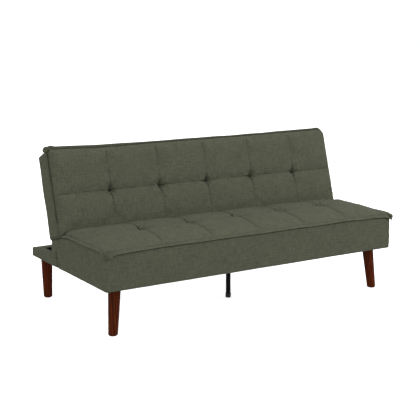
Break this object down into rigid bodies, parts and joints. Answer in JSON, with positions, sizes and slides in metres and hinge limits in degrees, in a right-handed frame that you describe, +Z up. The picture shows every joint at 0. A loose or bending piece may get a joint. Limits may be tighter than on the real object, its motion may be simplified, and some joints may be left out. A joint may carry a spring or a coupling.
{
  "type": "futon sofa bed",
  "caption": "Armless click-clack sofa bed: tufted seat and backrest in woven fabric, tapered wooden legs, and a back that folds down flat to make a bed.",
  "frame": {"origin": "on the floor, under the middle of the box around the whole sofa", "axes": "+X to the right seen from the front, along the sofa; +Y from the front apron to the back; +Z up"},
  "size_m": [1.68, 0.865, 0.8093],
  "materials": {
    "upholstery_fabric": "matte",
    "lining_cloth": "matte",
    "seat_foam": "matte",
    "frame_timber": "matte",
    "hardboard": "matte",
    "stained_wood": "satin",
    "zinc_steel": "satin",
    "black_steel": "satin",
    "foot_rubber": "matte",
    "glide_nylon": "matte"
  },
  "bodies": {
    "root": {"leg_front_left": "stained_wood", "glide_front_left": "glide_nylon", "hanger_bolt_front_left": "zinc_steel", "leg_plate_front_left": "zinc_steel", "leg_front_right": "stained_wood", "glide_front_right": "glide_nylon", "hanger_bolt_front_right": "zinc_steel", "leg_plate_front_right": "zinc_steel", "leg_rear_left": "stained_wood", "glide_rear_left": "glide_nylon", "hanger_bolt_rear_left": "zinc_steel", "leg_plate_rear_left": "zinc_steel", "leg_rear_right": "stained_wood", "glide_rear_right": "glide_nylon", "hanger_bolt_rear_right": "zinc_steel", "leg_plate_rear_right": "zinc_steel", "centre_leg_tube": "black_steel", "centre_leg_foot": "foot_rubber", "centre_leg_flange": "black_steel", "seat_rail_front": "frame_timber", "seat_rail_rear": "frame_timber", "seat_rail_left": "frame_timber", "seat_rail_right": "frame_timber", "seat_beam_centre": "frame_timber", "slat_far_left": "frame_timber", "slat_left": "frame_timber", "slat_middle": "frame_timber", "slat_right": "frame_timber", "slat_far_right": "frame_timber", "seat_foam": "seat_foam", "seat_pad": "upholstery_fabric", "seat_apron_front": "upholstery_fabric", "seat_panel_left": "upholstery_fabric", "seat_panel_right": "upholstery_fabric", "seat_rear_cover": "lining_cloth", "dust_cover": "lining_cloth", "rear_frame_left": "frame_timber", "rear_frame_right": "frame_timber", "rear_frame_back": "frame_timber", "rear_rail_cover_left": "upholstery_fabric", "rear_rail_cover_right": "upholstery_fabric", "rear_rail_cover_back": "upholstery_fabric", "frame_bolt_left": "zinc_steel", "frame_bolt_right": "zinc_steel", "hinge_base_left": "black_steel", "hinge_base_right": "black_steel", "hinge_rivet_left": "zinc_steel", "hinge_rivet_right": "zinc_steel"},
    "backrest": {"back_pad": "upholstery_fabric", "back_border": "upholstery_fabric", "back_foam": "seat_foam", "back_board": "hardboard", "back_rear_cover": "upholstery_fabric", "back_rail_bottom": "frame_timber", "back_rail_top": "frame_timber", "back_stile_left": "frame_timber", "back_stile_right": "frame_timber", "back_stile_centre": "frame_timber", "hinge_arm_left": "black_steel", "hinge_arm_right": "black_steel"}
  },
  "joints": [
    {"name": "backrest_recline", "type": "hinge", "parent": "root", "child": "backrest", "pos_m": [0, 0.1325, 0.309], "axis": [-1, 0, 0], "range_deg": [-8, 74]}
  ]
}
